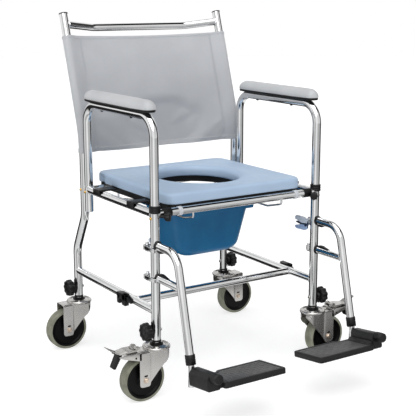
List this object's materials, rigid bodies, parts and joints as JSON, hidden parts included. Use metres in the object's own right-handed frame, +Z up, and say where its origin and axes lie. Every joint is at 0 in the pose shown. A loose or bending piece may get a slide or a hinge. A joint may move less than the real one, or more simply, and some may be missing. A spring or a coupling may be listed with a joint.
{
  "type": "commode chair",
  "caption": "Wheeled commode chair: chromed tube frame, padded seat with an aperture over a sliding pan, lift-out arms, swing-away footrests and braked swivel castors.",
  "frame": {"origin": "on the floor, below the centre of the chair's overall box", "axes": "+Z up, the chair faces -Y, +X towards the sitter's left"},
  "size_m": [0.848, 0.8685, 1.0178],
  "materials": {
    "chrome_tube": "bright chrome plate",
    "zinc_steel": "satin zinc plate",
    "black_plastic": "moulded, fine grain",
    "tyre": "soft grey non-marking rubber",
    "hub": "moulded",
    "sling": "coated nylon cloth",
    "arm_pad": "soft skinned foam, fine leather grain",
    "seat_pad": "soft skinned foam, smooth",
    "pan": "moulded, semi-gloss",
    "lever": "moulded",
    "footplate": "moulded, textured"
  },
  "bodies": {
    "frame": {"lower_cross_bar": "chrome_tube", "seat_front_bar": "chrome_tube", "seat_rear_bar": "chrome_tube", "push_bar": "chrome_tube", "backrest_sling": "sling", "front_leg_left": "chrome_tube", "rear_upright_left": "chrome_tube", "seat_rail_left": "chrome_tube", "lower_rail_left": "chrome_tube", "pan_rail_left": "chrome_tube", "arm_collar_left": "black_plastic", "rail_catch_left": "black_plastic", "front_leg_right": "chrome_tube", "rear_upright_right": "chrome_tube", "seat_rail_right": "chrome_tube", "lower_rail_right": "chrome_tube", "pan_rail_right": "chrome_tube", "arm_collar_right": "black_plastic", "rail_catch_right": "black_plastic"},
    "seat": {"seat_pad": "seat_pad", "seat_base": "black_plastic"},
    "pan": {"pan": "pan"},
    "armrest_left": {"arm_tube_left": "chrome_tube", "arm_pad_left": "arm_pad", "arm_pad_base_left": "black_plastic"},
    "arm_lock_left": {"arm_lock_knob_left": "black_plastic"},
    "footrest_left": {"footrest_hanger_left": "chrome_tube"},
    "foot_extension_left": {"foot_tube_left": "chrome_tube"},
    "plate_left": {"footplate_left": "footplate"},
    "lever_left": {"release_lever_left": "lever"},
    "leg_extension_front_left": {"leg_stem_front_left": "chrome_tube"},
    "castor_front_left": {"castor_fork_front_left": "zinc_steel"},
    "wheel_front_left": {"tyre_front_left": "tyre", "hub_front_left": "hub"},
    "height_knob_front_left": {"star_knob_front_left": "black_plastic"},
    "leg_extension_rear_left": {"leg_stem_rear_left": "chrome_tube"},
    "castor_rear_left": {"castor_fork_rear_left": "zinc_steel"},
    "wheel_rear_left": {"tyre_rear_left": "tyre", "hub_rear_left": "hub"},
    "height_knob_rear_left": {"star_knob_rear_left": "black_plastic"},
    "brake_left": {"brake_pedal_left": "zinc_steel"},
    "armrest_right": {"arm_tube_right": "chrome_tube", "arm_pad_right": "arm_pad", "arm_pad_base_right": "black_plastic"},
    "arm_lock_right": {"arm_lock_knob_right": "black_plastic"},
    "footrest_right": {"footrest_hanger_right": "chrome_tube"},
    "foot_extension_right": {"foot_tube_right": "chrome_tube"},
    "plate_right": {"footplate_right": "footplate"},
    "lever_right": {"release_lever_right": "lever"},
    "leg_extension_front_right": {"leg_stem_front_right": "chrome_tube"},
    "castor_front_right": {"castor_fork_front_right": "zinc_steel"},
    "wheel_front_right": {"tyre_front_right": "tyre", "hub_front_right": "hub"},
    "height_knob_front_right": {"star_knob_front_right": "black_plastic"},
    "leg_extension_rear_right": {"leg_stem_rear_right": "chrome_tube"},
    "castor_rear_right": {"castor_fork_rear_right": "zinc_steel"},
    "wheel_rear_right": {"tyre_rear_right": "tyre", "hub_rear_right": "hub"},
    "height_knob_rear_right": {"star_knob_rear_right": "black_plastic"},
    "brake_right": {"brake_pedal_right": "zinc_steel"}
  },
  "joints": [
    {"name": "seat_lift", "type": "slide", "parent": "frame", "child": "seat", "axis": [0, 0, 1], "range_m": [0, 0.05]},
    {"name": "pan_slide", "type": "slide", "parent": "frame", "child": "pan", "axis": [0, 1, 0], "range_m": [0, 0.42]},
    {"name": "armrest_lift_left", "type": "slide", "parent": "frame", "child": "armrest_left", "axis": [0, 0, 1], "range_m": [0, 0.05]},
    {"name": "arm_lock_turn_left", "type": "hinge", "parent": "frame", "child": "arm_lock_left", "pos_m": [0.27, -0.12255, 0.503], "axis": [-0.7071, -0.7071, 0], "range_deg": [0, 360]},
    {"name": "footrest_swing_left", "type": "hinge", "parent": "frame", "child": "footrest_left", "pos_m": [0.276, -0.09055, 0.375], "axis": [0, 0, 1], "range_deg": [0, 90]},
    {"name": "footrest_length_left", "type": "slide", "parent": "footrest_left", "child": "foot_extension_left", "axis": [0, -0.23, -0.9732], "range_m": [0, 0.06]},
    {"name": "footplate_flip_left", "type": "hinge", "parent": "foot_extension_left", "child": "plate_left", "pos_m": [0.27, -0.29355, 0.133], "axis": [0, 0.9903, -0.1392], "range_deg": [0, 90]},
    {"name": "release_lever_left", "type": "hinge", "parent": "frame", "child": "lever_left", "pos_m": [0.2505, -0.11455, 0.41], "axis": [0, 0, 1], "range_deg": [0, 20], "stiffness_Nm_per_rad": 0.3},
    {"name": "leg_height_front_left", "type": "slide", "parent": "frame", "child": "leg_extension_front_left", "axis": [0, 0, -1], "range_m": [0, 0.075]},
    {"name": "castor_swivel_front_left", "type": "hinge", "parent": "leg_extension_front_left", "child": "castor_front_left", "pos_m": [0.27, -0.12255, 0.15], "axis": [0, 0, 1], "continuous": true},
    {"name": "wheel_spin_front_left", "type": "hinge", "parent": "castor_front_left", "child": "wheel_front_left", "pos_m": [0.316, -0.12255, 0.0625], "axis": [0, 1, 0], "continuous": true},
    {"name": "height_knob_turn_front_left", "type": "hinge", "parent": "frame", "child": "height_knob_front_left", "pos_m": [0.27, -0.12255, 0.192], "axis": [1, 0, 0], "range_deg": [0, 360]},
    {"name": "leg_height_rear_left", "type": "slide", "parent": "frame", "child": "leg_extension_rear_left", "axis": [0, 0, -1], "range_m": [0, 0.075]},
    {"name": "castor_swivel_rear_left", "type": "hinge", "parent": "leg_extension_rear_left", "child": "castor_rear_left", "pos_m": [0.27, 0.35345, 0.15], "axis": [0, 0, 1], "continuous": true},
    {"name": "wheel_spin_rear_left", "type": "hinge", "parent": "castor_rear_left", "child": "wheel_rear_left", "pos_m": [0.316, 0.35345, 0.0625], "axis": [0, 1, 0], "continuous": true},
    {"name": "height_knob_turn_rear_left", "type": "hinge", "parent": "frame", "child": "height_knob_rear_left", "pos_m": [0.27, 0.35345, 0.192], "axis": [1, 0, 0], "range_deg": [0, 360]},
    {"name": "brake_press_left", "type": "hinge", "parent": "castor_front_left", "child": "brake_left", "pos_m": [0.356, -0.12255, 0.153], "axis": [0, 1, 0], "range_deg": [0, 12]},
    {"name": "armrest_lift_right", "type": "slide", "parent": "frame", "child": "armrest_right", "axis": [0, 0, 1], "range_m": [0, 0.05]},
    {"name": "arm_lock_turn_right", "type": "hinge", "parent": "frame", "child": "arm_lock_right", "pos_m": [-0.27, -0.12255, 0.503], "axis": [0.7071, -0.7071, 0], "range_deg": [0, 360]},
    {"name": "footrest_swing_right", "type": "hinge", "parent": "frame", "child": "footrest_right", "pos_m": [-0.276, -0.09055, 0.375], "axis": [0, 0, -1], "range_deg": [0, 90]},
    {"name": "footrest_length_right", "type": "slide", "parent": "footrest_right", "child": "foot_extension_right", "axis": [0, -0.23, -0.9732], "range_m": [0, 0.06]},
    {"name": "footplate_flip_right", "type": "hinge", "parent": "foot_extension_right", "child": "plate_right", "pos_m": [-0.27, -0.29355, 0.133], "axis": [0, -0.9903, 0.1392], "range_deg": [0, 90]},
    {"name": "release_lever_right", "type": "hinge", "parent": "frame", "child": "lever_right", "pos_m": [-0.2505, -0.11455, 0.41], "axis": [0, 0, -1], "range_deg": [0, 20], "stiffness_Nm_per_rad": 0.3},
    {"name": "leg_height_front_right", "type": "slide", "parent": "frame", "child": "leg_extension_front_right", "axis": [0, 0, -1], "range_m": [0, 0.075]},
    {"name": "castor_swivel_front_right", "type": "hinge", "parent": "leg_extension_front_right", "child": "castor_front_right", "pos_m": [-0.27, -0.12255, 0.15], "axis": [0, 0, 1], "continuous": true},
    {"name": "wheel_spin_front_right", "type": "hinge", "parent": "castor_front_right", "child": "wheel_front_right", "pos_m": [-0.316, -0.12255, 0.0625], "axis": [0, 1, 0], "continuous": true},
    {"name": "height_knob_turn_front_right", "type": "hinge", "parent": "frame", "child": "height_knob_front_right", "pos_m": [-0.27, -0.12255, 0.192], "axis": [-1, 0, 0], "range_deg": [0, 360]},
    {"name": "leg_height_rear_right", "type": "slide", "parent": "frame", "child": "leg_extension_rear_right", "axis": [0, 0, -1], "range_m": [0, 0.075]},
    {"name": "castor_swivel_rear_right", "type": "hinge", "parent": "leg_extension_rear_right", "child": "castor_rear_right", "pos_m": [-0.27, 0.35345, 0.15], "axis": [0, 0, 1], "continuous": true},
    {"name": "wheel_spin_rear_right", "type": "hinge", "parent": "castor_rear_right", "child": "wheel_rear_right", "pos_m": [-0.316, 0.35345, 0.0625], "axis": [0, 1, 0], "continuous": true},
    {"name": "height_knob_turn_rear_right", "type": "hinge", "parent": "frame", "child": "height_knob_rear_right", "pos_m": [-0.27, 0.35345, 0.192], "axis": [-1, 0, 0], "range_deg": [0, 360]},
    {"name": "brake_press_right", "type": "hinge", "parent": "castor_front_right", "child": "brake_right", "pos_m": [-0.356, -0.12255, 0.153], "axis": [0, -1, 0], "range_deg": [0, 12]}
  ]
}
